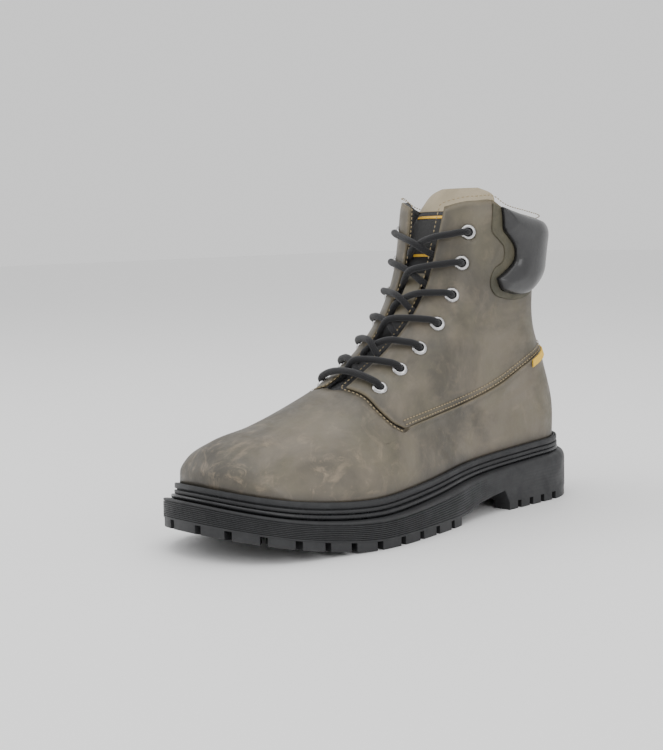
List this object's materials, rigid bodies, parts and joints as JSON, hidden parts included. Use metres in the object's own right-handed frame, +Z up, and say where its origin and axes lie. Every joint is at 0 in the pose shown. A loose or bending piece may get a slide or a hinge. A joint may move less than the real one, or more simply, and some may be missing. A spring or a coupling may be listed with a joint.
{
  "type": "lace-up boot",
  "caption": "Ankle-high leather work boot for the left foot: rounded toe, lugged rubber sole with heel, padded collar, padded tongue and laces crossed over metal eyelets.",
  "frame": {"origin": "on the floor, under the middle of the outsole's box", "axes": "+Z up, the toe towards -Y, the outer (lateral) side of this left boot towards +X"},
  "size_m": [0.1197, 0.3014, 0.2053],
  "materials": {
    "black_rubber": "matt moulded black rubber",
    "polished_rubber": "smooth black rubber with a shine",
    "insole_board": "brown board",
    "waxed_leather": "waxed grey-brown pull-up leather",
    "collar_leather": "smooth black padded leather",
    "lining": "black woven lining",
    "woven_label": "plain black woven patch",
    "woven_tab": "yellow woven tape",
    "lace_cord": "round black braided cord",
    "nickel": "nickel-plated eyelets"
  },
  "bodies": {
    "root": {"outsole": "black_rubber", "midsole": "polished_rubber", "welt": "black_rubber", "insole": "insole_board", "upper": "waxed_leather", "quarters": "waxed_leather", "collar_pad": "collar_leather", "tongue": "lining", "tongue_label": "woven_label", "lace_keeper": "waxed_leather", "side_tab": "woven_tab", "lace_bar": "lace_cord", "lace_cross_1": "lace_cord", "lace_cross_2": "lace_cord", "lace_cross_3": "lace_cord", "lace_cross_4": "lace_cord", "lace_cross_5": "lace_cord", "lace_cross_6": "lace_cord", "eyelet_lateral_1": "nickel", "eyelet_lateral_2": "nickel", "eyelet_lateral_3": "nickel", "eyelet_lateral_4": "nickel", "eyelet_lateral_5": "nickel", "eyelet_lateral_6": "nickel", "eyelet_lateral_7": "nickel", "eyelet_medial_1": "nickel", "eyelet_medial_2": "nickel", "eyelet_medial_3": "nickel", "eyelet_medial_4": "nickel", "eyelet_medial_5": "nickel", "eyelet_medial_6": "nickel", "eyelet_medial_7": "nickel"}
  },
  "joints": []
}
